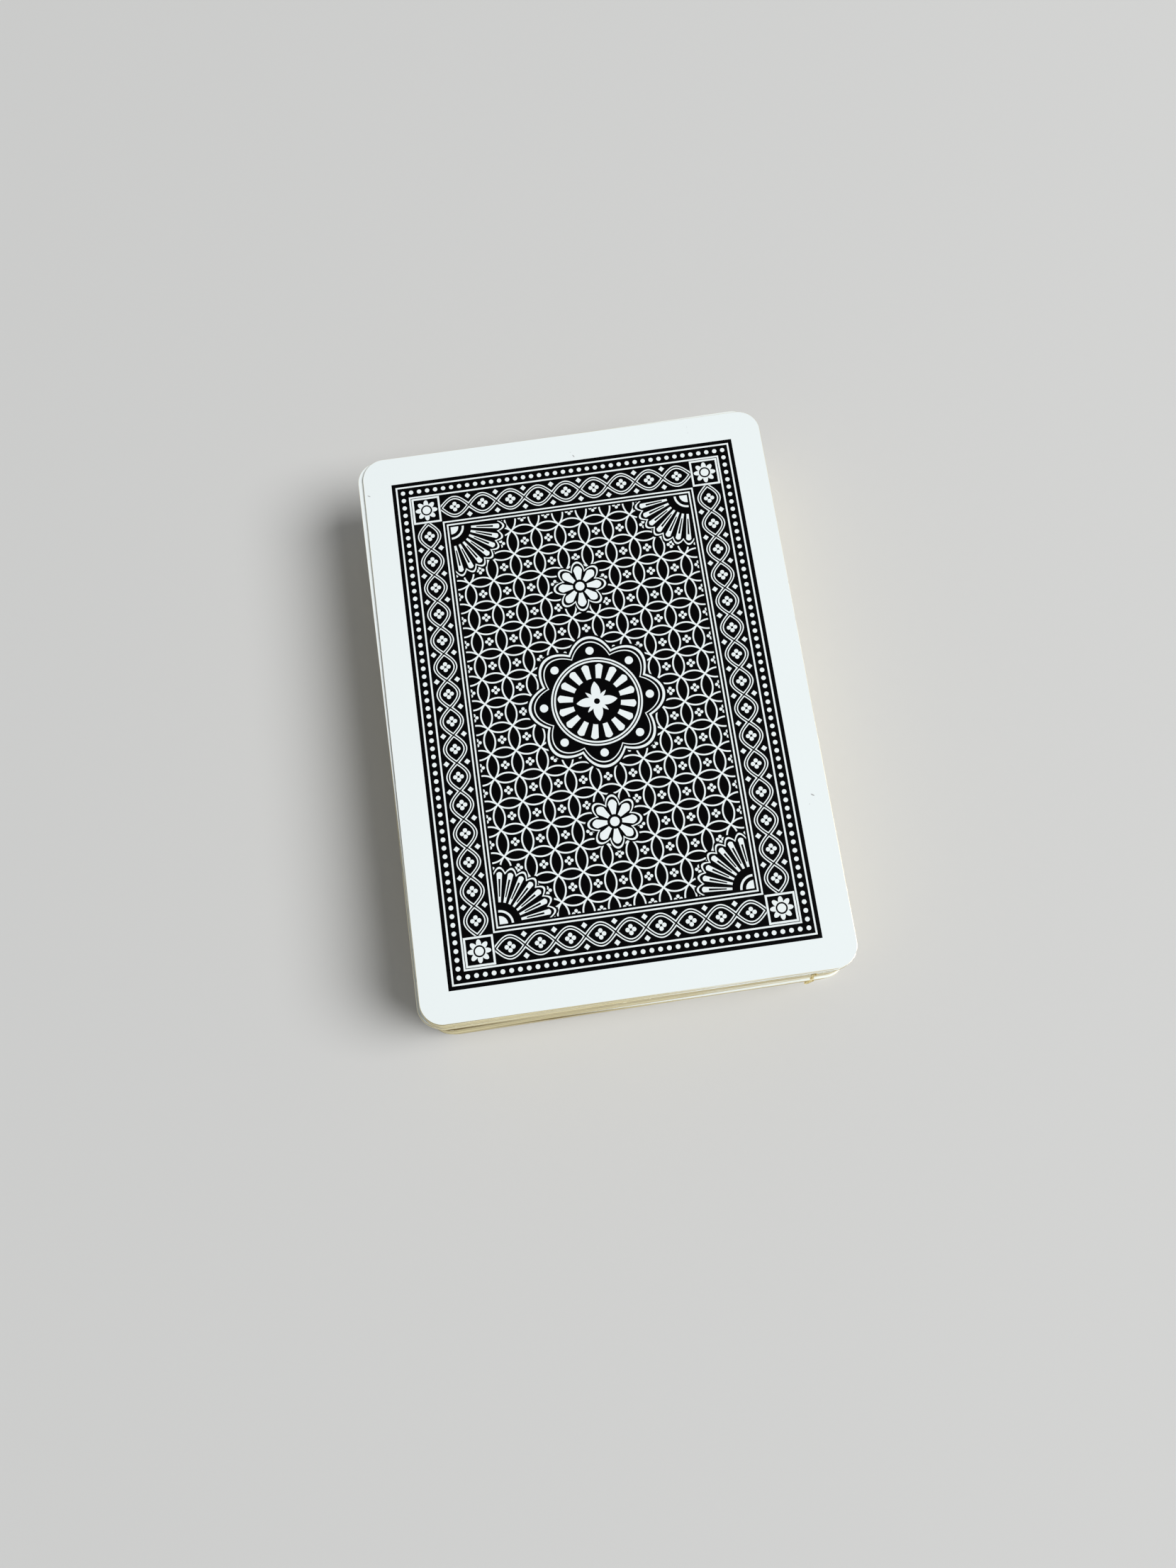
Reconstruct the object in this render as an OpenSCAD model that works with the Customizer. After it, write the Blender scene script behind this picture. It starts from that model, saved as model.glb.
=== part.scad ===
// A pack of playing cards, squared up by hand and lying face down on a table.
// Sizes are in millimetres and turns in degrees. The origin is the middle of the bottom
// card's underside, with +X to the right across the cards, +Y along the cards and away from
// the person who holds the pack, and +Z up through the pile.

/* [Card] */
// Width of a card
card_width = 63; // [50:0.5:80]
// Length of a card
card_length = 88; // [70:0.5:120]
// Thickness of a card
card_thickness = 0.27; // [0.2:0.01:0.5]
// Radius of a card's rounded corners
corner_radius = 3.4; // [1:0.1:8]

/* [Pile] */
// Air left between one card and the next
card_gap = 0.03; // [0.02:0.01:0.1]
// Cards in the bottom packet, which the rest lies on
bottom_packet = 22; // [1:1:22]
// Cards in the lower packet, on the bottom packet
lower_packet = 10; // [1:1:12]
// Cards in the middle packet, on the lower packet
middle_packet = 14; // [1:1:16]

/* [Lower packet] */
// Shift of the lower packet to the right of the bottom packet
lower_side = 0; // [-3:0.05:3]
// Shift of the lower packet's top card behind the bottom packet
lower_back = 0.8; // [-3:0.05:3]
// Turn of the lower packet on the bottom packet
lower_turn = 0.25; // [-3:0.05:3]
// How far the lower packet's lowest card lies in front of its top card
lower_lean = 0.6; // [0:0.05:3]

/* [Middle packet] */
// Shift of the middle packet to the right of the bottom packet
middle_side = -0.4; // [-3:0.05:3]
// Shift of the middle packet's top card behind the bottom packet
middle_back = 0.75; // [-3:0.05:3]
// Turn of the middle packet on the bottom packet
middle_turn = -0.35; // [-3:0.05:3]
// How far the middle packet's lowest card lies in front of its top card
middle_lean = 0.2; // [0:0.05:3]

/* [Upper packet] */
// Shift of the upper packet to the right of the bottom packet
upper_side = 0; // [-3:0.05:3]
// Shift of the upper packet's top card behind the bottom packet
upper_back = 1.2; // [-3:0.05:3]
// Turn of the upper packet on the bottom packet
upper_turn = 0.1; // [-3:0.05:3]
// How far the upper packet's lowest card lies in front of its top card
upper_lean = 0.5; // [0:0.05:3]

/* [Top card] */
// Shift of the top card to the right of the bottom packet
top_side = 0.4; // [-3:0.05:3]
// Shift of the top card behind the bottom packet
top_back = 1.1; // [-3:0.05:3]
// Turn of the top card on the bottom packet
top_turn = -0.4; // [-3:0.05:3]

/* [Single cards] */
// How far a card may lie off its packet, each way
stray = 0.05; // [0:0.01:0.5]
// How far a card may be turned in its packet, each way
stray_turn = 0.04; // [0:0.01:0.5]

/* [Hidden] */
// Corners are drawn with this many steps a turn
$fn = 64;

// The cards are named from the top of the pile down
SUITS = ["spades", "hearts", "diamonds", "clubs"];
RANKS = [
    "ace", "two", "three", "four", "five", "six", "seven",
    "eight", "nine", "ten", "jack", "queen", "king"
];
JOKERS = ["red_joker", "black_joker"];
NODES = concat([for (suit = SUITS, rank = RANKS) str(rank, "_of_", suit)], JOKERS);

card_count = len(NODES);
top_level = card_count - 1;
pitch = card_thickness + card_gap;

// Place, turn and lean of each packet, from the bottom one up to the top card
packet_side = [0, lower_side, middle_side, upper_side, top_side];
packet_back = [0, lower_back, middle_back, upper_back, top_back];
packet_turn = [0, lower_turn, middle_turn, upper_turn, top_turn];
packet_lean = [0, lower_lean, middle_lean, upper_lean, 0];

// The level at which each packet starts; the upper packet holds what is left below the top card
lower_level = bottom_packet;
middle_level = lower_level + lower_packet;
upper_level = middle_level + middle_packet;
packet_level = [0, lower_level, middle_level, upper_level, top_level, card_count];

// Angles whose sines scatter the cards of a packet, unlike from card to card
side_scatter = 137.5;
back_scatter = 222.5;
turn_scatter = 99.5;

// The packet that the card at a level of the pile belongs to
function packet_at(level) =
    level == top_level ? 4
    : level >= upper_level ? 3
    : level >= middle_level ? 2
    : level >= lower_level ? 1
    : 0;

// How far the card at a level lies in front of its packet's top card
function lean_at(level) =
    let (packet = packet_at(level))
    let (below = packet_level[packet + 1] - 1 - level)
    let (steps = packet_level[packet + 1] - 1 - packet_level[packet])
    steps == 0 ? 0 : packet_lean[packet] * below / steps;

// A number from -1 to 1 for each level: 0 for the bottom card and for the top card
function scatter(level, angle) = level == top_level ? 0 : sin(angle * level * level);

// A card's outline with its rounded corners, about its middle
module card_outline() {
    corner_x = card_width / 2 - corner_radius;
    corner_y = card_length / 2 - corner_radius;
    square([2 * corner_x, card_length], center = true);
    square([card_width, 2 * corner_y], center = true);
    for (x = [-corner_x, corner_x], y = [-corner_y, corner_y])
        translate([x, y])
            circle(r = corner_radius);
}

// One card, lying at its level of the pile
module playing_card(level) {
    packet = packet_at(level);
    side = packet_side[packet] + stray * scatter(level, side_scatter);
    back = packet_back[packet] - lean_at(level) + stray * scatter(level, back_scatter);
    turn = packet_turn[packet] + stray_turn * scatter(level, turn_scatter);
    color("ivory")
        translate([side, back, level * pitch])
            rotate(turn)
                linear_extrude(card_thickness)
                    card_outline();
}

for (level = [0 : top_level])
    playing_card(level);
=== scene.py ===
# The looks of a pack of playing cards: printed backs, gilt edges and printed faces.
# Every length is in millimetres until MM turns it into Blender's metres.

import math

import bpy
from mathutils import Matrix, Quaternion, Vector


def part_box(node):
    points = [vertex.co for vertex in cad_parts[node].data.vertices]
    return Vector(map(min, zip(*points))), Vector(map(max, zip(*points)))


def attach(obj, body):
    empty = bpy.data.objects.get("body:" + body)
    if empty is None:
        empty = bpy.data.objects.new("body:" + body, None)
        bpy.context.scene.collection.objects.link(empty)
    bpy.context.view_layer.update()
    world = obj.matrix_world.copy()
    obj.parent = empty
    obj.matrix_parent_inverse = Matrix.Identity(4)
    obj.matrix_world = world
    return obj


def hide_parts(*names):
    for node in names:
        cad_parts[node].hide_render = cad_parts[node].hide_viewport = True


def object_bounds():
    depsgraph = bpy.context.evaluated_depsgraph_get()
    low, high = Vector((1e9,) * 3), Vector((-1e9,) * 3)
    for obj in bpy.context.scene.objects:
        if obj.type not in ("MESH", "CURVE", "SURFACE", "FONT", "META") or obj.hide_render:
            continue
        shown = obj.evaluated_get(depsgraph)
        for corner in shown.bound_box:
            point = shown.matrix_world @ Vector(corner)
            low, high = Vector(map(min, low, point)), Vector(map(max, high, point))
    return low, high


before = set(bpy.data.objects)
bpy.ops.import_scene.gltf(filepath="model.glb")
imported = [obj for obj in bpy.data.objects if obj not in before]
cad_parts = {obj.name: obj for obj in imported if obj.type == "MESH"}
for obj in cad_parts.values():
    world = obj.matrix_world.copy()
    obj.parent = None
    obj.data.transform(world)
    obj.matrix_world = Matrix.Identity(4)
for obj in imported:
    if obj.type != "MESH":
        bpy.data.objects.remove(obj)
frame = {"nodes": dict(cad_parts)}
cad_low, cad_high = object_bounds()

MM = 0.001
HALF = 0.5
TOP_CARD = "ace_of_spades"
BOTTOM_CARD = "black_joker"

# Every card's size, from the bottom card, which is square to the axes and centred on them
card_low, card_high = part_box(BOTTOM_CARD)
HALF_WIDTH = card_high.x / MM
HALF_LENGTH = card_high.y / MM

# The camera, measured in the axes of the top card, from the middle of its back
IMAGE_WIDTH = 1659
FOCAL_PIXELS = 1600
SENSOR_WIDTH = 36
CLIP_START = 5
CAMERA_PLACE = Vector((-5.90, -47.54, 163.58))
CAMERA_AIM = Vector((-3.31, -12.39, 0))
CAMERA_ROLL = math.radians(-3.91)

# The floor, which fades into the backdrop, and the light
FLOOR_SIZE = 40000
FLOOR_DROP = 0.01
FLOOR_COLOUR = (0.60, 0.60, 0.59, 1)
FLOOR_ROUGHNESS = 0.85
FLOOR_GLOSS = 0.2
FADE_FROM = 500
FADE_LENGTH = 1500
SKY_COLOUR = (0.96, 0.98, 1.0, 1)
SKY_STRENGTH = 0.28
BACKDROP_COLOUR = (0.74, 0.74, 0.73, 1)
KEY_PLACE = Vector((1950, -500, 2450))
KEY_SIZE = 2100
KEY_POWER = 110.0

# The card's own form
CORNER_STEPS = 12
RIM_EASE = 0.045
RIM_STEPS = 2
SMOOTH_ANGLE = math.radians(15)
BACK, EDGE, FACE = range(3)
# How close points on one line lie, and how far the normal of a level face or a side points that way
SAME_LINE = 0.0045
LEVEL = 0.99
SIDEWAYS = 0.9

# Flakes of loose gilt on the front edge: how far to the right and how wide they are
FLAKES = {
    "eight_of_spades": [(25.4, 0.4), (25.0, 0.6)],
    "three_of_hearts": [(25.9, 0.4)],
    "nine_of_hearts": [(26.1, 0.6)],
    "seven_of_diamonds": [(25.2, 0.8), (25.7, 0.6), (26.1, 0.4)],
}
FLAKE_CELLS = (6, 3)
FLAKE_NARROW = 0.55
FLAKE_OUT = 0.3
FLAKE_UP = 0.06
FLAKE_TILT = 0.5
FLAKE_TURN = 0.4
FLAKE_CRUMPLE = 0.08
FLAKE_THICK = 0.02
SEEDS_PER_MM = 10

# The back print, about its own middle: the depth and half the width of each white rule
PRINT_MAP = "print"
PRINT_SHIFT = -0.2
PRINT_HALF_WIDTH = 26.95
PRINT_HALF_LENGTH = 39.45
RULES = [(0.72, 0.13), (2.62, 0.13), (7.42, 0.12), (7.98, 0.12)]
# The row of pearls
PEARL_DEPTH = 1.68
PEARL_RADIUS = 0.34
PEARL_PITCH = 1.25
# The band of two ribbons that cross, with a flower in each eye and a lozenge at each crossing
BAND_START = 2.78
BAND_END = 7.27
EYE_LENGTH = 4.4
RIBBON_SWING = 1.52
RIBBON_HALF = 0.44
RIBBON_THINNING = 0.15
CORE_HALF = 0.16
CORE_THINNING = 0.05
EYE_PETAL_OUT = 0.48
EYE_PETAL = 0.32
EYE_HEART = 0.17
LOZENGE_OUT = 1.55
LOZENGE = 0.46
# The block where two bands meet. A rosette has a radius, a swell of its lobes and a count of them
BLOCK_HALF = 2.02
BLOCK_LINE = 0.15
BLOCK_ROSETTE = (0.95, 0.75, 8)
BLOCK_RING = 0.75
BLOCK_RING_LINE = 0.12
# The field of rings
FIELD_START = 8.4
CIRCLE_PITCH = 3.75
CIRCLE_LINE = 0.12
FIELD_PETAL_OUT = 0.4
FIELD_PETAL = 0.25
# The fan in each corner of the field. A share runs from 0 on a spoke to a half between two spokes
FAN_FLUTES = 28
FAN_REACH = 7.4
FAN_SCALLOP = 0.8
FAN_LINE = 0.15
FAN_LEAF_INSET = 0.6
FAN_LEAF_START = 3.2
FAN_LEAF_SHARE = 0.26
FAN_SLIT = 5.3
FAN_SLIT_HALF = 1.3
FAN_SLIT_SHARE = 0.4
FAN_RING = 1.9
FAN_RING_LINE = 0.16
FAN_HUB = 1.2
FAN_CLEAR = 0.5
# The middle flower
MEDALLION_LOBES = 8
MEDALLION = (8.2, 1.9, MEDALLION_LOBES)
MEDALLION_LINE = 0.2
MEDALLION_INNER = 0.7
MEDALLION_INNER_LINE = 0.1
MEDALLION_CLEAR = 0.55
MEDALLION_RINGS = (6.75, 6.3)
MEDALLION_RING_LINE = 0.13
BEAD_OUT = 8.0
BEAD = 0.62
LEAVES = 16
LEAF_REACH = 5.0
LEAF_SWELL = 0.9
LEAF_START = 3.6
LEAF_SHARE = 0.24
STAR_POINTS = 4
LONG_POINT = 3.1
LONG_TAPER = 5.2
SHORT_POINT = 2.2
SHORT_TAPER = 7.0
STAR_EYE = 0.45
# The flowers above and below it
FLOWER_UP = 18.5
FLOWER = (2.6, 1.3, 8)
FLOWER_LINE = 0.16
FLOWER_CLEAR = 0.5
FLOWER_PETAL_INSET = 0.6
FLOWER_PETAL_START = 1.1
FLOWER_PETAL_SHARE = 0.32
FLOWER_HEART = 0.7

# The face print: pips from the middle of the card, the lower half being the upper half turned round
PIP_SIZE = 5.4
PIP_SIDE = 12.2
PIP_TOP = 29.5
SIDE_ROWS = [(PIP_SIDE, PIP_TOP), (PIP_SIDE, 0)]
SIDE_FOURS = [(PIP_SIDE, PIP_TOP), (PIP_SIDE, PIP_TOP / 3)]
PIPS = {
    "two": [(0, PIP_TOP)],
    "three": [(0, PIP_TOP), (0, 0)],
    "four": [(PIP_SIDE, PIP_TOP)],
    "five": [(PIP_SIDE, PIP_TOP), (0, 0)],
    "six": SIDE_ROWS,
    "seven": SIDE_ROWS,
    "eight": SIDE_ROWS + [(0, PIP_TOP / 2)],
    "nine": SIDE_FOURS + [(0, 0)],
    "ten": SIDE_FOURS + [(0, PIP_TOP * 2 / 3)],
}
# Pips that only one half has, with their own size
ONE_MORE = {
    "ace": (0, 0, 11),
    "seven": (0, PIP_TOP / 2, PIP_SIZE),
    "red_joker": (0, 0, 16),
    "black_joker": (0, 0, 16),
}
RED_SUITS = ("hearts", "diamonds")
RED_JOKER = "red_joker"
INDEX_SIDE = 26.9
INDEX_UP = 36.0
INDEX_UNIT = 0.9
INDEX_PIP_UP = 28.6
INDEX_PIP = 2.2
# The court cards: points of the crown, places of crown and pip, the ruled frame and the sash across it
COURT_POINTS = {"jack": 3, "queen": 4, "king": 5}
COURT_PIP_SIDE = 12.5
COURT_PIP_UP = 24.5
CROWN_UP = 14.0
CROWN_SIZE = 8.0
PANEL_HALF_WIDTH = 21.0
PANEL_HALF_LENGTH = 33.5
PANEL_LINE = 0.24
PANEL_INNER = 1.1
PANEL_INNER_LINE = 0.14
SASH_HALF = 4.2
SASH_LINE = 0.2
SASH_STEP = 2.4
SASH_LOZENGE = 2.2

# The suits, the star and the crown, each drawn about its own middle and reaching about 1 each way
STEM_HALF = 0.07
STEM_FLARE = 0.55
STEM_FLARE_FROM = -0.55
STEM_MIDDLE = -0.6
STEM_HALF_LENGTH = 0.4
LOBE = 0.52
LOBE_SIDE = 0.46
LOBE_UP = 0.38
HEART_SLOPE = 1.19
HEART_SHOULDER = 0.13
SPADE_WIDTH = 0.92
SPADE_HEIGHT = 0.816
DIAMOND_WIDTH = 0.76
DIAMOND_HOLLOW = 0.5
CLUB_LEAF = 0.42
CLUB_TOP = 0.52
CLUB_SIDE = 0.48
CLUB_SIDE_DOWN = 0.12
CLUB_MIDDLE = 0.3
STAR_TIPS = 5
STAR_VALLEY = 0.42
CROWN_HALF = 0.95
CROWN_FOOT = -0.45
CROWN_VALLEY = -0.15
CROWN_RISE = 1.3
CROWN_BAND = -0.66
CROWN_BAND_HALF = 0.11
CROWN_BALL = 0.12
CROWN_BALL_UP = 0.66

# The corner marks, as strokes on a grid
GRID_WIDTH = 4
GRID_HEIGHT = 6
STROKE_HALF = 0.42
FAR_OFF = 9
HOOK = [(4, 5), (3, 6), (1, 6), (0, 5), (0, 1), (1, 0), (3, 0), (4, 1)]
SIX = HOOK + [(4, 2.5), (3, 3.5), (1, 3.5), (0, 2.5)]
BOWL = [(3, 3.6), (4, 2.6), (4, 1), (3, 0), (1, 0), (0, 1)]
RING = [(1, 0), (0, 1), (0, 5), (1, 6), (3, 6), (4, 5), (4, 1), (3, 0), (1, 0)]
NUMERALS = {
    "ace": [[(0, 0), (2, 6), (4, 0)], [(0.7, 2), (3.3, 2)]],
    "two": [[(0, 5), (1, 6), (3, 6), (4, 5), (4, 4), (0, 0), (4, 0)]],
    "three": [[(0, 6), (4, 6), (2, 3.6)] + BOWL],
    "four": [[(3, 0), (3, 6), (0, 2), (4, 2)]],
    "five": [[(4, 6), (0.3, 6), (0, 3.3)] + BOWL],
    "six": [SIX],
    "seven": [[(0, 6), (4, 6), (1.5, 0)]],
    "eight": [RING, [(0.3, 3.2), (3.7, 3.2)]],
    "nine": [[(GRID_WIDTH - x, GRID_HEIGHT - y) for x, y in SIX]],
    "ten": [[(-0.9, 5), (0, 6), (0, 0)], [(x * 0.8 + 1.5, y) for x, y in RING]],
    "jack": [[(4, 6), (4, 1), (3, 0), (1, 0), (0, 1)]],
    "queen": [RING, [(2.4, 1.6), (4.3, -0.4)]],
    "king": [[(0, 0), (0, 6)], [(4, 6), (0, 2.2)], [(1.4, 3.5), (4, 0)]],
}

# Noise, in steps per millimetre on a card, with a step of its own from card to card
CARD_MARK = "card_mark"
MARK_STEP = 7.3
NOISE_MIDDLE = 0.5
NOISE_DETAIL = 2.0
CLOUD_SCALE = 0.05
GRAIN_SCALE = 2.4
GRAIN_DETAIL = 3.0
SCUFF_STRETCH = (0.9, 0.5, 1)
SCUFF_DETAIL = 4.0
CREEP_AND_SHADE_STRETCH = (0.012, 0.012, 1)
TONE_STRETCH = (0.02, 0.02, 1)
STREAK_STRETCH = (0.15, 0.15, 1)
STREAK_DETAIL = 3.0
RUBBED_STRETCH = (0.5, 0.5, 1)
RUBBED_DETAIL = 4.0
LOOSE_SCALE = 4.0
LOOSE_DETAIL = 3.0

# Wear: where noise starts to show it, and how much of it shows
SCUFF_FROM = 0.75
SCUFF_SHARE = 0.3
RUBBED_FROM = 0.64
THIN_BELOW = 0.50
TARNISH_FROM = 0.52
TARNISH_GAIN = 6.0
TARNISH_SHARE = 0.85
LOOSE_FROM = 0.35
LOOSE_GAIN = 4.0
# Gilt that creeps from the edge onto the back of every card but the top one, partly real gilt and
# partly painted shade under the cards above, and further along the left of the front edge
CREEP_AND_SHADE_FROM = 0.34
CREEP_AND_SHADE_GAIN = 0.3
CREEP_AND_SHADE_EVEN = 0.6
CREEP_AND_SHADE_MORE = 0.15
CREEP_AND_SHADE_NEAR = 24
CREEP_AND_SHADE_FAR = 42
CREEP_AND_SHADE_TONE = 5.0
# Cards whose front edge is painted brown, partly gilt that has turned brown and partly painted shade in
# the gaps between packets: how dark, and how far to the right it is darkest
CARD_STAIN_AND_SHADE = "card_stain_and_shade"
CARD_STAIN_AND_SHADE_SIDE = "card_stain_and_shade_side"
STAIN_AND_SHADE_REACH = 14
STAINED_AND_SHADED = {
    "nine_of_hearts": (0.5, -24),
    "queen_of_hearts": (0.95, -28.5),
    "king_of_hearts": (0.95, -28.5),
    "six_of_diamonds": (0.85, -13),
    "seven_of_diamonds": (0.85, -13),
}
NO_STAIN_AND_SHADE = (0, 0)
# Specks on the top card's back: how far to the right and up, how long, how turned and how dark
SPECKS = [
    (-30.8, 38.1, 0.5, -0.5, 0.7),
    (29.1, -18.7, 0.6, -0.6, 0.7),
    (1.8, 40.2, 0.5, -1.0, 0.7),
    (1.4, 40.9, 0.3, 0.0, 0.3),
    (28.4, -20.0, 0.3, 1.2, 0.3),
    (20.2, 42.5, 0.3, 1.5, 0.2),
    (20.2, 41.5, 0.3, 0.8, 0.2),
]
SPECK_NARROW = 0.35

# How the surfaces shine
BOARD_ROUGHNESS = 0.28
BOARD_GLOSS = 0.02
GILT_ROUGHNESS = 0.26
LOOSE_ROUGHNESS = 0.35
LOOSE_METAL = 0.5
ROUGHNESS_SPREAD = 0.14

# Colours
BOARD_WHITE = (0.81, 0.865, 0.865, 1)
BOARD_GREY = (0.79, 0.845, 0.845, 1)
INK_BLACK = (0.0008, 0.0008, 0.001, 1)
INK_THIN = (0.0014, 0.0014, 0.0017, 1)
GILT = (0.62, 0.52, 0.27, 1)
GILT_PALE = (0.78, 0.71, 0.49, 1)
GILT_THIN = (0.95, 0.93, 0.80, 1)
BARE_EDGE = (0.60, 0.56, 0.43, 1)
GILT_CREEP_AND_SHADE = (0.33, 0.29, 0.15, 1)
GILT_CREEP_AND_SHADE_PALE = (0.68, 0.64, 0.44, 1)
STAIN_AND_SHADE = (0.13, 0.085, 0.022, 1)
LOOSE_GILT = (0.90, 0.83, 0.52, 1)
LOOSE_BROWN = (0.40, 0.29, 0.11, 1)
TARNISH_AND_SHADE = (0.20, 0.145, 0.06, 1)
SCUFF = (0.30, 0.29, 0.29, 1)
RED_INK = (0.52, 0.016, 0.018, 1)
COURT_GOLD = (0.62, 0.40, 0.08, 1)

# A Mix node's sockets by number, because their names repeat: its share, its low and its high one
MIX_NUMBERS = (0, 2, 3)
MIX_COLOURS = (0, 6, 7)
MIX_COLOUR_OUT = 2


class Value:
    """A number or colour that varies over a surface. Expressions on numbers add Math nodes."""

    def __init__(self, pattern, socket):
        self.pattern = pattern
        self.socket = socket

    def output(self, name):
        """Another output of the same node."""
        return Value(self.pattern, self.socket.node.outputs[name])

    def math(self, operation, *others):
        return self.pattern.math(operation, self, *others)

    def __add__(self, other):
        return self.math("ADD", other)

    def __radd__(self, other):
        return self.math("ADD", other)

    def __sub__(self, other):
        return self.math("SUBTRACT", other)

    def __rsub__(self, other):
        return self.pattern.math("SUBTRACT", other, self)

    def __mul__(self, other):
        return self.math("MULTIPLY", other)

    def __rmul__(self, other):
        return self.math("MULTIPLY", other)

    def __truediv__(self, other):
        return self.math("DIVIDE", other)

    def __abs__(self):
        return self.math("ABSOLUTE")

    def __lt__(self, other):
        return self.math("LESS_THAN", other)

    def __gt__(self, other):
        return self.math("GREATER_THAN", other)

    def least(self, other):
        return self.math("MINIMUM", other)

    def most(self, other):
        return self.math("MAXIMUM", other)

    def near(self, middle, reach):
        """1 where the value lies within reach of the middle, otherwise 0."""
        return self.math("COMPARE", middle, reach)

    def fold(self, half):
        """The distance to the nearest even multiple of half."""
        return self.math("PINGPONG", half)

    def to_whole(self):
        """The distance to the nearest whole number."""
        return self.fold(HALF)


class Pattern:
    """A node tree that is written as expressions."""

    def __init__(self, tree):
        self.tree = tree

    def node(self, kind, settings, inputs, output=0):
        """Adds a node with its settings, then the values or links of its sockets."""
        node = self.tree.nodes.new(kind)
        for name, value in settings.items():
            setattr(node, name, value)
        for name, value in inputs.items():
            self.feed(node.inputs[name], value)
        return Value(self, node.outputs[output])

    def feed(self, socket, value):
        """Links a value to a socket, or sets a constant on it."""
        if isinstance(value, Value):
            self.tree.links.new(value.socket, socket)
        else:
            socket.default_value = value

    def math(self, operation, *values):
        return self.node("ShaderNodeMath", {"operation": operation}, dict(enumerate(values)))

    def distance(self, place):
        """How far a place lies from the origin."""
        return self.node("ShaderNodeVectorMath", {"operation": "LENGTH"}, {0: place}, "Value")

    def length(self, x, y):
        return self.distance(self.node("ShaderNodeCombineXYZ", {}, {"X": x, "Y": y}))

    def from_spoke(self, x, y, spokes):
        """How far round a place lies from the nearest spoke, in steps from spoke to spoke."""
        return (y.math("ARCTAN2", x) * (spokes / math.tau)).to_whole()

    def mix(self, share, low, high):
        """A number between two numbers."""
        inputs = dict(zip(MIX_NUMBERS, (share, low, high)))
        return self.node("ShaderNodeMix", {"data_type": "FLOAT"}, inputs)

    def blend(self, share, low, high):
        """A colour between two colours."""
        inputs = dict(zip(MIX_COLOURS, (share, low, high)))
        return self.node("ShaderNodeMix", {"data_type": "RGBA"}, inputs, MIX_COLOUR_OUT)

    def noise(self, place, scale, detail=NOISE_DETAIL):
        return self.node("ShaderNodeTexNoise", {}, {"Vector": place, "Scale": scale, "Detail": detail})

    def stretched_noise(self, place, stretch, detail=NOISE_DETAIL):
        """Noise with its own scale along each axis."""
        stretched = self.node("ShaderNodeMapping", {}, {"Vector": place, "Scale": stretch})
        return self.noise(stretched, 1, detail)

    def stamp(self, motif, across, up, size):
        """1 inside a motif that is enlarged by size about its own middle."""
        return self.node("ShaderNodeGroup", {"node_tree": motif.tree}, {0: across / size, 1: up / size})


class Finish(Pattern):
    """One material."""

    def __init__(self, name):
        self.material = bpy.data.materials.new(name)
        self.material.use_nodes = True
        super().__init__(self.material.node_tree)
        self.shader = self.tree.nodes["Principled BSDF"]

    def set(self, **inputs):
        """Feeds the shader's own sockets, with _ for a space in a name."""
        for name, value in inputs.items():
            self.feed(self.shader.inputs[name.replace("_", " ")], value)


class Motif(Pattern):
    """A shape that is drawn once and stamped in many places: 1 inside it and 0 outside."""

    def __init__(self, name, draw):
        super().__init__(bpy.data.node_groups.new(name, "ShaderNodeTree"))
        for socket in ("across", "up"):
            self.tree.interface.new_socket(socket, in_out="INPUT", socket_type="NodeSocketFloat")
        self.tree.interface.new_socket("inside", in_out="OUTPUT", socket_type="NodeSocketFloat")
        across = self.node("NodeGroupInput", {}, {}, "across")
        inside = draw(self, across, across.output("up"))
        end = self.tree.nodes.new("NodeGroupOutput")
        self.feed(end.inputs["inside"], inside)


def print_place(finish):
    """A place on the card, right of and above its middle, in millimetres."""
    place = finish.node("ShaderNodeUVMap", {"uv_map": PRINT_MAP}, {})
    x = finish.node("ShaderNodeSeparateXYZ", {}, {"Vector": place}, "X")
    return x, x.output("Y")


def card_value(finish, name):
    """A number that a card has all over it."""
    return finish.node("ShaderNodeAttribute", {"attribute_name": name}, {}, "Fac")


def own_place(finish):
    """A place on the card in millimetres, set apart from the same place on every other card."""
    x, y = print_place(finish)
    apart = card_value(finish, CARD_MARK) * MARK_STEP
    return finish.node("ShaderNodeCombineXYZ", {}, {"X": x, "Y": y, "Z": apart})


def whole(length, pitch):
    """The pitch nearest to the wanted one that divides the length into whole steps."""
    return length / round(length / pitch)


def odd(length, pitch):
    """The pitch nearest to the wanted one that fits an odd number of half steps."""
    steps = 2 * round(length / pitch - HALF) + 1
    return 2 * length / steps


def pearl_row(finish, across, along, depth, on_side):
    """A row of round pearls along all four sides."""
    end_pitch = whole(PRINT_HALF_WIDTH - PEARL_DEPTH, PEARL_PITCH)
    side_pitch = whole(PRINT_HALF_LENGTH - PEARL_DEPTH, PEARL_PITCH)
    step = finish.mix(on_side, across / end_pitch, along / side_pitch)
    beside = step.to_whole() * PEARL_PITCH
    return finish.length(beside, depth - PEARL_DEPTH) < PEARL_RADIUS


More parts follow.
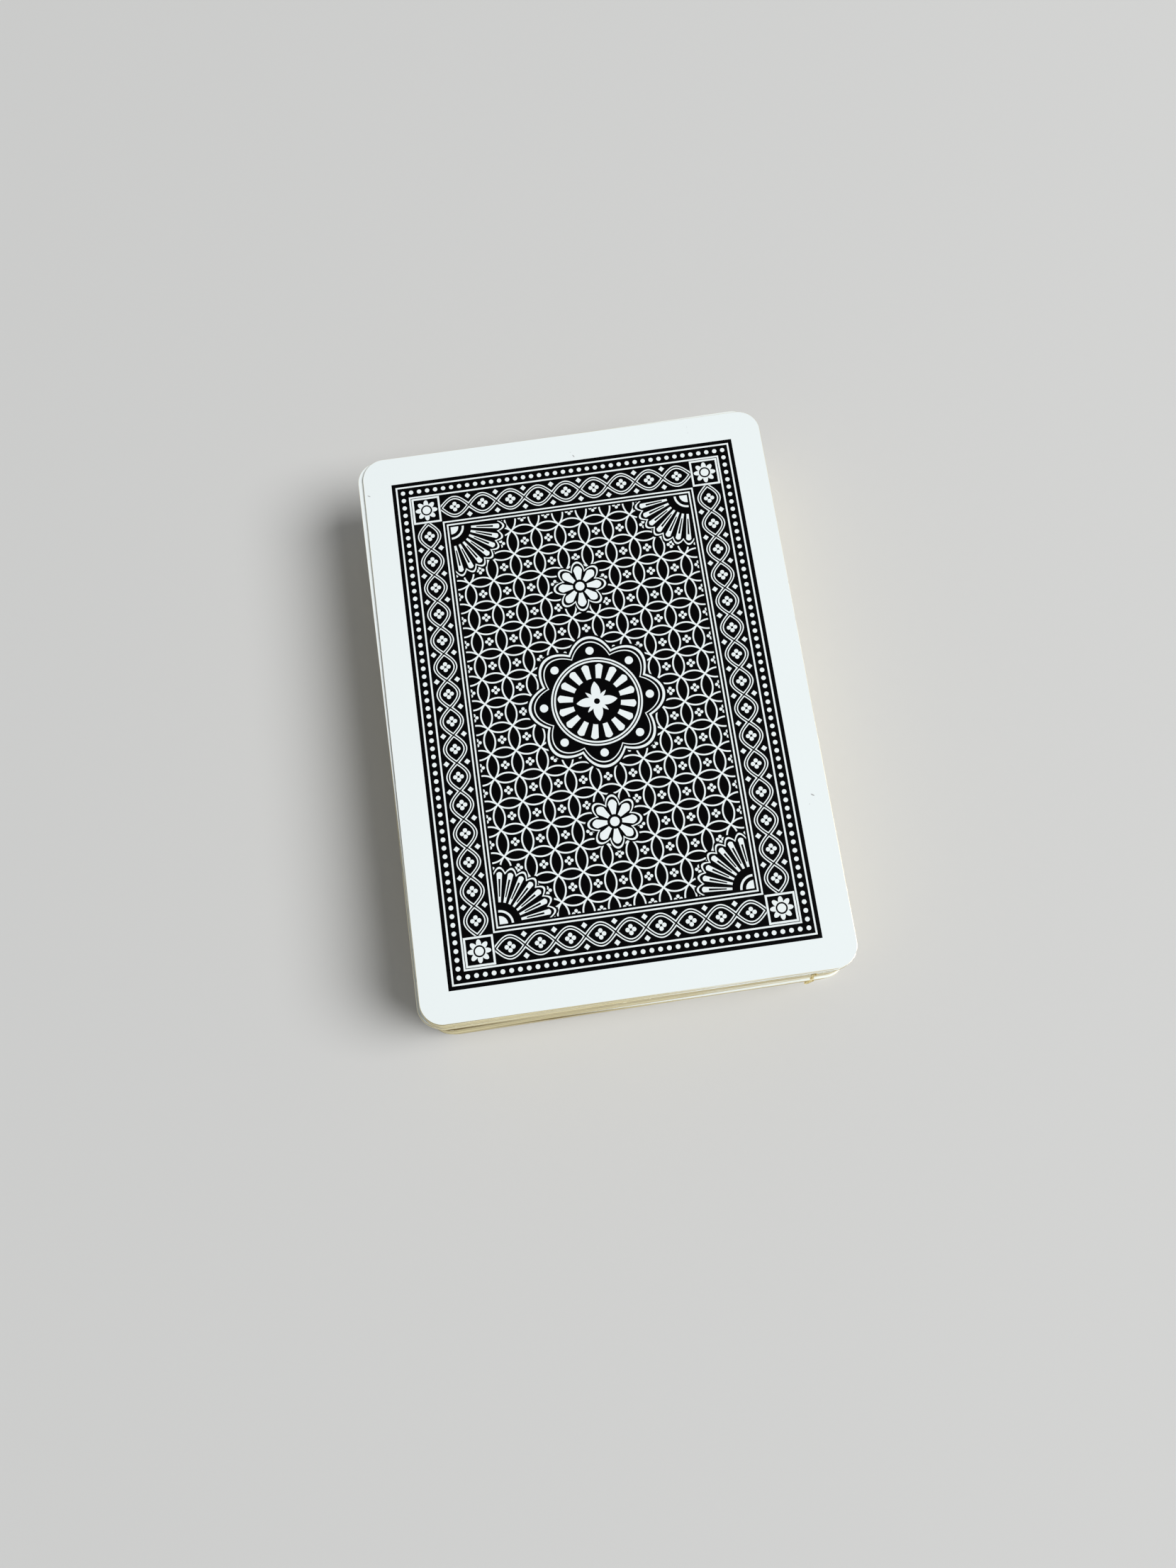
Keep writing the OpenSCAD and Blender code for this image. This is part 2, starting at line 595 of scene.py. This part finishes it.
def guilloche(finish, across, along, depth, on_side, run):
    """Two ribbons that cross and part, with a flower in each eye and a lozenge at each crossing."""
    middle = (BAND_START + BAND_END) / 2
    end_eye = odd(PRINT_HALF_WIDTH - BAND_END, EYE_LENGTH)
    side_eye = odd(PRINT_HALF_LENGTH - BAND_END, EYE_LENGTH)
    eye = finish.mix(on_side, across / end_eye, along / side_eye)
    swing = abs((eye * math.pi).math("COSINE"))
    off = abs(depth - middle)
    ribbon = off.near(swing * RIBBON_SWING, RIBBON_HALF - swing * RIBBON_THINNING)
    core = off.near(swing * RIBBON_SWING, CORE_HALF - swing * CORE_THINNING)
    beside = eye.to_whole() * EYE_LENGTH
    wide = beside.most(off)
    narrow = beside.least(off)
    petal = finish.length(wide - EYE_PETAL_OUT, narrow) < EYE_PETAL
    eye_heart = finish.length(beside, off) < EYE_HEART
    lozenge = (EYE_LENGTH / 2 - beside) + abs(off - LOZENGE_OUT) < LOZENGE
    lozenge = lozenge * (run > BAND_END + 2 * LOZENGE)
    return (ribbon - core).most(petal - eye_heart).most(lozenge)


def rosette(finish, x, y, flower):
    """How far a place lies outside a lobed flower, from its middle, and from its nearest lobe."""
    radius, swell, lobes = flower
    reach = finish.length(x, y)
    part = finish.from_spoke(x, y, lobes)
    edge = reach - radius - (part * math.pi).math("COSINE") * swell
    return edge, reach, part


def corner_block(finish, side_depth, end_depth):
    """A framed rosette where two bands meet."""
    middle = (BAND_START + BAND_END) / 2
    x = side_depth - middle
    y = end_depth - middle
    edge, reach = rosette(finish, x, y, BLOCK_ROSETTE)[:2]
    frame_line = abs(x).most(abs(y)).near(BLOCK_HALF, BLOCK_LINE)
    flower = (edge < 0) - reach.near(BLOCK_RING, BLOCK_RING_LINE)
    return frame_line.most(flower)


def circle_lattice(finish, across, along):
    """Rings that overlap into petals, with a small flower in each ring."""
    wide_pitch = whole(PRINT_HALF_WIDTH - FIELD_START, CIRCLE_PITCH)
    long_pitch = whole(PRINT_HALF_LENGTH - FIELD_START, CIRCLE_PITCH)
    radius = (wide_pitch + long_pitch) / 2 * math.sqrt(HALF)
    x = across.fold(wide_pitch / 2)
    y = along.fold(long_pitch / 2)
    ring = finish.length(wide_pitch - x, y).near(radius, CIRCLE_LINE)
    other_ring = finish.length(x, long_pitch - y).near(radius, CIRCLE_LINE)
    petal = finish.length(x.most(y) - FIELD_PETAL_OUT, x.least(y)) < FIELD_PETAL
    return ring.most(other_ring).most(petal)


def corner_fan(finish, side_depth, end_depth):
    """A fluted quarter fan in each corner of the field, and where it lies."""
    x = side_depth - FIELD_START
    y = end_depth - FIELD_START
    reach = finish.length(x, y)
    flute = finish.from_spoke(x, y, FAN_FLUTES)
    edge = reach - FAN_REACH - (flute * math.pi).math("SINE") * FAN_SCALLOP
    outline = edge.near(0, FAN_LINE)
    leaf = (edge < -FAN_LEAF_INSET) * (reach > FAN_LEAF_START) * (flute > FAN_LEAF_SHARE)
    slit = (flute > FAN_SLIT_SHARE) * reach.near(FAN_SLIT, FAN_SLIT_HALF)
    hub = reach.near(FAN_RING, FAN_RING_LINE).most(reach < FAN_HUB)
    return outline.most(leaf - slit).most(hub), edge < FAN_CLEAR


def medallion(finish, across, along):
    """The lobed middle flower with its beads, rings, leaves and star, and where it lies."""
    edge, reach, part = rosette(finish, across, along, MEDALLION)
    inside = edge.near(0, MEDALLION_LINE).most(edge.near(-MEDALLION_INNER, MEDALLION_INNER_LINE))
    for ring in MEDALLION_RINGS:
        inside = inside.most(reach.near(ring, MEDALLION_RING_LINE))
    bead = finish.length(reach - BEAD_OUT, part * (BEAD_OUT * math.tau / MEDALLION_LOBES)) < BEAD
    leaf = finish.from_spoke(across, along, LEAVES)
    leaf_edge = reach - LEAF_REACH - (leaf * math.pi).math("SINE") * LEAF_SWELL
    leaves = (leaf_edge < 0) * (reach > LEAF_START) * (leaf > LEAF_SHARE)
    point = finish.from_spoke(across, along, STAR_POINTS)
    long_points = reach + point * LONG_TAPER < LONG_POINT
    short_points = reach + (HALF - point) * SHORT_TAPER < SHORT_POINT
    inside = inside.most(bead).most(leaves).most(long_points).most(short_points)
    return inside - (reach < STAR_EYE), edge < MEDALLION_CLEAR


def small_flower(finish, across, along):
    """A flower above and below the middle one, and where it lies."""
    edge, reach, part = rosette(finish, across, along - FLOWER_UP, FLOWER)
    outline = edge.near(0, FLOWER_LINE)
    petals = (edge < -FLOWER_PETAL_INSET) * (part < FLOWER_PETAL_SHARE) * (reach > FLOWER_PETAL_START)
    return outline.most(petals).most(reach < FLOWER_HEART), edge < FLOWER_CLEAR


def back_print(finish):
    """1 where the back is left white and 0 where it is inked."""
    x, y = print_place(finish)
    across = abs(x - PRINT_SHIFT)
    along = abs(y)
    side_depth = PRINT_HALF_WIDTH - across
    end_depth = PRINT_HALF_LENGTH - along
    depth = side_depth.least(end_depth)
    on_side = side_depth < end_depth
    white = depth < 0
    for middle, half in RULES:
        white = white + depth.near(middle, half)
    white = white + pearl_row(finish, across, along, depth, on_side)

    run = side_depth.most(end_depth)
    ribbons = guilloche(finish, across, along, depth, on_side, run)
    block = corner_block(finish, side_depth, end_depth)
    in_band = depth.near((BAND_START + BAND_END) / 2, (BAND_END - BAND_START) / 2)
    white = white + finish.mix(run < BAND_END, ribbons, block) * in_band

    field = circle_lattice(finish, across, along)
    fan, in_fan = corner_fan(finish, side_depth, end_depth)
    field = finish.mix(in_fan, field, fan)
    flower, in_flower = small_flower(finish, across, along)
    field = finish.mix(in_flower, field, flower)
    middle_flower, in_middle = medallion(finish, across, along)
    field = finish.mix(in_middle, field, middle_flower)
    return white + field * (depth > FIELD_START)


def corner_radius():
    """The radius of a card's corners, from the end of the bottom card's straight side."""
    points = frame["nodes"][BOTTOM_CARD].data.vertices
    on_side = [point.co.y for point in points if card_high.x - point.co.x < SAME_LINE * MM]
    return (card_high.y - max(on_side)) / MM


def rim_distance(finish):
    """How far a place on a card lies inside the card's outline."""
    radius = corner_radius()
    x, y = print_place(finish)
    beyond_x = (abs(x) - (HALF_WIDTH - radius)).most(0)
    beyond_y = (abs(y) - (HALF_LENGTH - radius)).most(0)
    return radius - finish.length(beyond_x, beyond_y)


def on_front(finish):
    """1 on the front edge of a card, falling to 0 round its corners."""
    y = print_place(finish)[1]
    return (1 - (y + HALF_LENGTH) / corner_radius()).most(0)


def front_left(finish):
    """1 on the left part of the front edge, falling to 0 further along and round the corner."""
    x = print_place(finish)[0]
    along = (CREEP_AND_SHADE_FAR - (x + HALF_WIDTH)) / (CREEP_AND_SHADE_FAR - CREEP_AND_SHADE_NEAR)
    return along.most(0).least(1) * on_front(finish)


def card_stain_and_shade(finish):
    """How dark brown a card's front edge is painted: partly browned gilt, partly painted shade of the
    gaps between packets.
    """
    x = print_place(finish)[0]
    away = abs(x - card_value(finish, CARD_STAIN_AND_SHADE_SIDE))
    return card_value(finish, CARD_STAIN_AND_SHADE) * (1 - away / STAIN_AND_SHADE_REACH).most(0) * on_front(finish)


def specks(finish):
    """How dark each place of the top card is specked."""
    x, y = print_place(finish)
    dark = 0
    for side, up, length, turn, share in SPECKS:
        along = (x - side) * math.cos(turn) + (y - up) * math.sin(turn)
        beside = (y - up) * math.cos(turn) - (x - side) * math.sin(turn)
        dark = (finish.length(along, beside / SPECK_NARROW) < length / 2) * share + dark
    return dark


def on_top_card(finish):
    """1 on the top card and 0 on every other card."""
    number = list(frame["nodes"]).index(TOP_CARD)
    return card_value(finish, CARD_MARK).near(number, HALF)


def crept_gilt_and_shade(finish, place, grain):
    """Where gilt has crept from the edge onto the back of a card, and its colour: an olive rim that is
    partly gilt and partly painted shade under the cards above.
    """
    own = finish.stretched_noise(place, CREEP_AND_SHADE_STRETCH)
    # The olive rim of gilt and painted shade is wider along the left part of the front edge
    more = front_left(finish) * CREEP_AND_SHADE_MORE
    reach = (own - CREEP_AND_SHADE_FROM) * CREEP_AND_SHADE_GAIN * (CREEP_AND_SHADE_EVEN + grain) + more
    tone = (own - NOISE_MIDDLE) * CREEP_AND_SHADE_TONE + NOISE_MIDDLE
    creep_and_shade_colour = finish.blend(tone, GILT_CREEP_AND_SHADE, GILT_CREEP_AND_SHADE_PALE)
    # On the same cards the crept gilt is darkened too, partly brown stain and partly painted shade
    # between packets
    return rim_distance(finish) < reach, finish.blend(card_stain_and_shade(finish), creep_and_shade_colour, STAIN_AND_SHADE)


def printed_back():
    """The coated white back with its black print, a little uneven, scuffed, and with an olive rim that
    is partly gilt and partly painted shade.
    """
    finish = Finish("printed_back")
    white = back_print(finish)
    place = own_place(finish)
    cloud = finish.noise(place, CLOUD_SCALE)
    grain = finish.noise(place, GRAIN_SCALE, GRAIN_DETAIL)
    board = finish.blend((cloud + grain) / 2, BOARD_GREY, BOARD_WHITE)
    ink = finish.blend(grain, INK_BLACK, INK_THIN)
    on_top = on_top_card(finish)
    scuff = (finish.stretched_noise(place, SCUFF_STRETCH, SCUFF_DETAIL) > SCUFF_FROM) * SCUFF_SHARE
    worn = finish.mix(on_top, scuff, specks(finish))
    colour = finish.blend(worn, finish.blend(white, ink, board), SCUFF)
    creep_and_shade_mask, creep_and_shade_colour = crept_gilt_and_shade(finish, place, grain)
    # The olive rim of crept gilt and painted shade is left off the top card, which no card covers
    colour = finish.blend(creep_and_shade_mask * (1 - on_top), colour, creep_and_shade_colour)
    rough = BOARD_ROUGHNESS + grain * ROUGHNESS_SPREAD + worn * ROUGHNESS_SPREAD
    finish.set(Base_Color=colour, Roughness=rough, Specular_IOR_Level=BOARD_GLOSS)
    return finish.material


def gilt_edge():
    """Gilding along the cut edges, thin or browned from card to card and rubbed here and there, with
    painted shade of the gaps between packets on some front edges.
    """
    finish = Finish("gilt_edge")
    place = own_place(finish)
    tone = finish.stretched_noise(place, TONE_STRETCH)
    streak = finish.stretched_noise(place, STREAK_STRETCH, STREAK_DETAIL)
    rubbed = finish.stretched_noise(place, RUBBED_STRETCH, RUBBED_DETAIL) > RUBBED_FROM
    gold = finish.blend(streak, GILT, GILT_PALE)
    thin = ((THIN_BELOW - tone) * TARNISH_GAIN).least(TARNISH_SHARE).most(0)
    gold = finish.blend(thin, gold, GILT_THIN)
    tarnish_and_shade = ((tone - TARNISH_FROM) * TARNISH_GAIN).least(TARNISH_SHARE).most(0)
    # Painted shade of the gaps between packets joins the tarnish here, on the listed cards
    tarnish_and_shade = tarnish_and_shade.most(card_stain_and_shade(finish))
    colour = finish.blend(rubbed, finish.blend(tarnish_and_shade, gold, TARNISH_AND_SHADE), BARE_EDGE)
    finish.set(Base_Color=colour, Metallic=1 - rubbed.most(tarnish_and_shade))
    finish.set(Roughness=GILT_ROUGHNESS + streak * ROUGHNESS_SPREAD)
    return finish.material


def loose_gilt():
    """Flaked gilt, bright gold with brown undersides showing through."""
    finish = Finish("loose_gilt")
    patch = finish.noise(own_place(finish), LOOSE_SCALE, LOOSE_DETAIL)
    colour = finish.blend((patch - LOOSE_FROM) * LOOSE_GAIN, LOOSE_BROWN, LOOSE_GILT)
    rough = LOOSE_ROUGHNESS + patch * ROUGHNESS_SPREAD
    finish.set(Base_Color=colour, Metallic=LOOSE_METAL, Roughness=rough)
    return finish.material


def stem(across, up):
    """The flared stem of a spade or a club."""
    flare = (STEM_FLARE_FROM - up).most(0) * STEM_FLARE + STEM_HALF
    return (abs(across) < flare) * up.near(STEM_MIDDLE, STEM_HALF_LENGTH)


def heart(motif, across, up):
    """Two round lobes and a point."""
    side = abs(across)
    lobe = motif.length(side - LOBE_SIDE, up - LOBE_UP) < LOBE
    point = (up > side * HEART_SLOPE - 1) * (up < HEART_SHOULDER)
    return lobe.most(point)


def spade(motif, across, up):
    """A heart on its head, on a stem."""
    body = heart(motif, across / SPADE_WIDTH, (1 - up) / SPADE_HEIGHT - 1)
    return body.most(stem(across, up))


def diamond(motif, across, up):
    """A lozenge with hollow sides."""
    wide = abs(across) / DIAMOND_WIDTH
    tall = abs(up)
    return wide + tall + wide * tall * DIAMOND_HOLLOW < 1


def club(motif, across, up):
    """Three round leaves on a stem."""
    top = motif.length(across, up - CLUB_TOP) < CLUB_LEAF
    side = motif.length(abs(across) - CLUB_SIDE, up + CLUB_SIDE_DOWN) < CLUB_LEAF
    middle = motif.length(across, up) < CLUB_MIDDLE
    return top.most(side).most(middle).most(stem(across, up))


def star(motif, across, up):
    """A star whose tips lie at 1 and whose valleys lie at STAR_VALLEY."""
    half = math.pi / STAR_TIPS
    slope = (1 - STAR_VALLEY * math.cos(half)) / (STAR_VALLEY * math.sin(half))
    turn = motif.from_spoke(up, across, STAR_TIPS) * (2 * half)
    return motif.length(across, up) * (turn.math("COSINE") + turn.math("SINE") * slope) < 1


def crown(points):
    """Draws a crown with that many points, each with a ball on it."""
    def draw(motif, across, up):
        share = ((across + 1) * (points / 2)).to_whole()
        inside = abs(across) < CROWN_HALF
        teeth = (up > CROWN_FOOT) * (up < share * CROWN_RISE + CROWN_VALLEY)
        band = up.near(CROWN_BAND, CROWN_BAND_HALF)
        ball = motif.length((HALF - share) * (2 / points), up - CROWN_BALL_UP) < CROWN_BALL
        return inside * teeth.most(band).most(ball)
    return draw


def stroke(motif, across, up, start, end):
    """How far a place lies from a straight stroke."""
    run = Vector(end) - Vector(start)
    x = across - start[0]
    y = up - start[1]
    share = ((x * run.x + y * run.y) / run.length_squared).most(0).least(1)
    return motif.length(x - share * run.x, y - share * run.y)


def numeral(lines):
    """Draws lines of the grid as strokes of one width."""
    def draw(motif, across, up):
        x = across + GRID_WIDTH / 2
        y = up + GRID_HEIGHT / 2
        away = FAR_OFF
        for line in lines:
            for start, end in zip(line, line[1:]):
                away = stroke(motif, x, y, start, end).least(away)
        return away < STROKE_HALF
    return draw


def face_motifs():
    """Every shape that the faces are printed with."""
    motifs = {
        "spades": Motif("spade", spade),
        "hearts": Motif("heart", heart),
        "diamonds": Motif("diamond", diamond),
        "clubs": Motif("club", club),
        "joker": Motif("star", star),
    }
    for rank, points in COURT_POINTS.items():
        motifs[rank + "_crown"] = Motif(rank + "_crown", crown(points))
    for rank, lines in NUMERALS.items():
        motifs[rank] = Motif(rank, numeral(lines))
    return motifs


def court_panel(across, tall):
    """The ruled frame of a court card and the sash of lozenges across its middle."""
    edge = (abs(across) - PANEL_HALF_WIDTH).most(tall - PANEL_HALF_LENGTH)
    frame_lines = edge.near(0, PANEL_LINE).most(edge.near(-PANEL_INNER, PANEL_INNER_LINE))
    rules = tall.near(SASH_HALF, SASH_LINE)
    lozenges = across.fold(SASH_STEP) + tall < SASH_LOZENGE
    return frame_lines.most(rules.most(lozenges) * (edge < -PANEL_INNER))


def card_face(node, motifs):
    """The coated white face of one card, with its corner marks and its pips."""
    finish = Finish(node + "_face")
    rank, *suits = node.split("_of_")
    suit = suits[0] if suits else "joker"
    pip = motifs[suit]
    x, y = print_place(finish)
    across = 0 - x
    tall = abs(y)
    turned = across * y.math("SIGN")
    grain = finish.noise(own_place(finish), GRAIN_SCALE, GRAIN_DETAIL)
    colour = finish.blend(grain, BOARD_GREY, BOARD_WHITE)
    printed = finish.stamp(pip, turned + INDEX_SIDE, tall - INDEX_PIP_UP, INDEX_PIP)
    if rank in NUMERALS:
        index = finish.stamp(motifs[rank], turned + INDEX_SIDE, tall - INDEX_UP, INDEX_UNIT)
        printed = printed.most(index)
    if rank in COURT_POINTS:
        colour = finish.blend(court_panel(across, tall), colour, INK_BLACK)
        gold = finish.stamp(motifs[rank + "_crown"], across, tall - CROWN_UP, CROWN_SIZE)
        colour = finish.blend(gold, colour, COURT_GOLD)
        court_pip = finish.stamp(pip, turned + COURT_PIP_SIDE, tall - COURT_PIP_UP, PIP_SIZE)
        printed = printed.most(court_pip)
    for side, up in PIPS.get(rank, []):
        height = tall - up if up else y
        printed = printed.most(finish.stamp(pip, abs(across) - side, height, PIP_SIZE))
    if rank in ONE_MORE:
        side, up, size = ONE_MORE[rank]
        printed = printed.most(finish.stamp(pip, across - side, y - up, size))
    red = suit in RED_SUITS or rank == RED_JOKER
    colour = finish.blend(printed, colour, RED_INK if red else INK_BLACK)
    rough = BOARD_ROUGHNESS + grain * ROUGHNESS_SPREAD
    finish.set(Base_Color=colour, Roughness=rough, Specular_IOR_Level=BOARD_GLOSS)
    return finish.material


def deselect_all():
    bpy.ops.object.select_all(action="DESELECT")


def edit_edges(piece, wanted):
    """Opens a piece with only those edges selected whose ends are wanted."""
    bpy.ops.object.mode_set(mode="EDIT")
    bpy.ops.mesh.select_mode(type="EDGE")
    bpy.ops.mesh.select_all(action="DESELECT")
    bpy.ops.object.mode_set(mode="OBJECT")
    points = piece.data.vertices
    for edge in piece.data.edges:
        start, end = edge.vertices
        edge.select = wanted(points[start].co, points[end].co)
    bpy.ops.object.mode_set(mode="EDIT")


def map_print(piece):
    """Gives a piece that lies about the origin its print map, in millimetres."""
    layer = piece.data.uv_layers.new(name=PRINT_MAP)
    for corner in piece.data.loops:
        point = piece.data.vertices[corner.vertex_index].co
        layer.uv[corner.index].vector = (point.x / MM, point.y / MM)


def card_blank(finishes):
    """One card about the origin, with round corners, eased rims and its three finishes."""
    deselect_all()
    bpy.ops.mesh.primitive_cube_add(size=1)
    card = bpy.context.object
    card.scale = card_high - card_low
    bpy.ops.object.transform_apply(location=True, rotation=True, scale=True)
    edit_edges(card, lambda start, end: start.z * end.z < 0)
    bpy.ops.mesh.bevel(offset=corner_radius() * MM, segments=CORNER_STEPS)
    bpy.ops.object.mode_set(mode="OBJECT")
    edit_edges(card, lambda start, end: start.z * end.z > 0)
    bpy.ops.mesh.bevel(offset=RIM_EASE * MM, segments=RIM_STEPS)
    bpy.ops.object.mode_set(mode="OBJECT")
    bpy.ops.object.shade_smooth_by_angle(angle=SMOOTH_ANGLE)
    for material in finishes:
        card.data.materials.append(material)
    for face in card.data.polygons:
        face.material_index = EDGE
        if face.normal.z > LEVEL:
            face.material_index = BACK
        elif face.normal.z < -LEVEL:
            face.material_index = FACE
    map_print(card)
    return card


def gilt_flake(card, side, size, finish):
    """Adds a crumpled flake of loose gilt to the front edge of a card that lies about the origin."""
    deselect_all()
    wide, deep = FLAKE_CELLS
    bpy.ops.mesh.primitive_grid_add(x_subdivisions=wide, y_subdivisions=deep, size=1)
    flake = bpy.context.object
    flake.scale = Vector((size, size * FLAKE_NARROW, 1)) * MM
    flake.location = (side * MM, card_low.y - FLAKE_OUT * size * MM, FLAKE_UP * MM)
    flake.rotation_euler = (-FLAKE_TILT, 0, FLAKE_TURN * math.sin(side * side))
    bpy.ops.object.transform_apply(location=True, rotation=True, scale=True)
    bpy.ops.object.mode_set(mode="EDIT")
    bpy.ops.mesh.select_all(action="SELECT")
    bpy.ops.transform.vertex_random(offset=FLAKE_CRUMPLE * size * MM, seed=round(side * SEEDS_PER_MM))
    bpy.ops.object.mode_set(mode="OBJECT")
    leaf = flake.modifiers.new("leaf", "SOLIDIFY")
    leaf.thickness = FLAKE_THICK * MM
    bpy.ops.object.modifier_apply(modifier=leaf.name)
    flake.data.materials.append(finish)
    map_print(flake)
    card.select_set(True)
    bpy.context.view_layer.objects.active = card
    bpy.ops.object.join()


def turn_of(node):
    """How far a card is turned in the pile, from the face of its right-hand side."""
    faces = frame["nodes"][node].data.polygons
    sides = [face for face in faces if face.normal.x > SIDEWAYS]
    side = max(sides, key=lambda face: face.area)
    return math.atan2(side.normal.y, side.normal.x)


def middle_of(node):
    low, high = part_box(node)
    return (low + high) / 2


def give_value(card, name, value):
    """Gives a card a number all over it, for its finishes to read."""
    layer = card.data.attributes.new(name, "FLOAT", "POINT")
    for point in layer.data:
        point.value = value


def lay_card(blank, node, number, face, loose):
    """Lays a copy of the blank where the pile has that card, with its own face and loose gilt."""
    deselect_all()
    blank.select_set(True)
    bpy.context.view_layer.objects.active = blank
    bpy.ops.object.duplicate()
    card = bpy.context.object
    card.name = node + "_card"
    card.data.materials[FACE] = face
    for side, size in FLAKES.get(node, []):
        gilt_flake(card, side, size, loose)
    card.location = middle_of(node)
    card.rotation_euler.z = turn_of(node)
    bpy.ops.object.transform_apply(location=True, rotation=True, scale=True)
    give_value(card, CARD_MARK, number)
    # How brown its front edge is painted: partly stain, partly painted shade between packets
    stain_and_shade, stain_and_shade_side = STAINED_AND_SHADED.get(node, NO_STAIN_AND_SHADE)
    give_value(card, CARD_STAIN_AND_SHADE, stain_and_shade)
    give_value(card, CARD_STAIN_AND_SHADE_SIDE, stain_and_shade_side)
    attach(card, node)
    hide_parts(node)


def top_axes():
    """The axes of the top card, from the middle of its back."""
    middle = middle_of(TOP_CARD)
    middle.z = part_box(TOP_CARD)[1].z
    return Matrix.Translation(middle) @ Matrix.Rotation(turn_of(TOP_CARD), 4, "Z")


def add_camera():
    """The camera, where the photograph was taken from."""
    axes = top_axes()
    place = axes @ (CAMERA_PLACE * MM)
    aim = axes @ (CAMERA_AIM * MM)
    bpy.ops.object.camera_add(location=place)
    camera = bpy.context.object
    level = (aim - place).to_track_quat("-Z", "Y")
    camera.rotation_mode = "QUATERNION"
    camera.rotation_quaternion = level @ Quaternion((0, 0, 1), CAMERA_ROLL)
    camera.data.sensor_fit = "HORIZONTAL"
    camera.data.sensor_width = SENSOR_WIDTH
    camera.data.lens = SENSOR_WIDTH * FOCAL_PIXELS / IMAGE_WIDTH
    camera.data.clip_start = CLIP_START * MM
    bpy.context.scene.camera = camera


def pale_floor():
    """The floor's finish, which fades into the backdrop far from the cards."""
    finish = Finish("pale_floor")
    finish.set(Base_Color=FLOOR_COLOUR, Roughness=FLOOR_ROUGHNESS, Specular_IOR_Level=FLOOR_GLOSS)
    place = finish.node("ShaderNodeTexCoord", {}, {}, "Object")
    fade = ((finish.distance(place) - FADE_FROM * MM) / (FADE_LENGTH * MM)).most(0).least(1)
    plain = Value(finish, finish.shader.outputs["BSDF"])
    haze = finish.node("ShaderNodeEmission", {}, {"Color": BACKDROP_COLOUR})
    both = finish.node("ShaderNodeMixShader", {}, {0: fade, 1: plain, 2: haze})
    finish.feed(finish.tree.nodes["Material Output"].inputs["Surface"], both)
    return finish.material


def add_floor():
    """The plain floor, just under the bottom card."""
    deselect_all()
    level = cad_low.z - FLOOR_DROP * MM
    bpy.ops.mesh.primitive_plane_add(size=FLOOR_SIZE * MM, location=(0, 0, level))
    floor = bpy.context.object
    floor.name = "floor"
    floor.data.materials.append(pale_floor())


def add_world():
    """An even sky that lights the cards, and a backdrop that is seen and reflected in its place."""
    world = bpy.data.worlds.new("studio")
    world.use_nodes = True
    bpy.context.scene.world = world
    studio = Pattern(world.node_tree)
    lit = studio.tree.nodes["Background"]
    studio.feed(lit.inputs["Color"], SKY_COLOUR)
    studio.feed(lit.inputs["Strength"], SKY_STRENGTH)
    sky = Value(studio, lit.outputs["Background"])
    backdrop = studio.node("ShaderNodeBackground", {}, {"Color": BACKDROP_COLOUR})
    seen = studio.node("ShaderNodeLightPath", {}, {}, "Is Camera Ray")
    reflected = seen.output("Is Glossy Ray")
    refracted = seen.output("Is Transmission Ray")
    shown = seen.most(reflected).most(refracted)
    either = studio.node("ShaderNodeMixShader", {}, {0: shown, 1: sky, 2: backdrop})
    studio.feed(studio.tree.nodes["World Output"].inputs["Surface"], either)


def add_key_light():
    """One large soft lamp from the right."""
    bpy.ops.object.light_add(type="AREA", location=KEY_PLACE * MM)
    key = bpy.context.object
    key.rotation_mode = "QUATERNION"
    key.rotation_quaternion = (-KEY_PLACE).to_track_quat("-Z", "Y")
    key.data.shape = "DISK"
    key.data.size = KEY_SIZE * MM
    key.data.energy = KEY_POWER


def main():
    bpy.context.scene.view_settings.view_transform = "Standard"
    add_camera()
    add_floor()
    add_world()
    add_key_light()
    motifs = face_motifs()
    loose = loose_gilt()
    blank = card_blank([printed_back(), gilt_edge(), None])
    for number, node in enumerate(frame["nodes"]):
        lay_card(blank, node, number, card_face(node, motifs), loose)
    bpy.data.objects.remove(blank)


main()
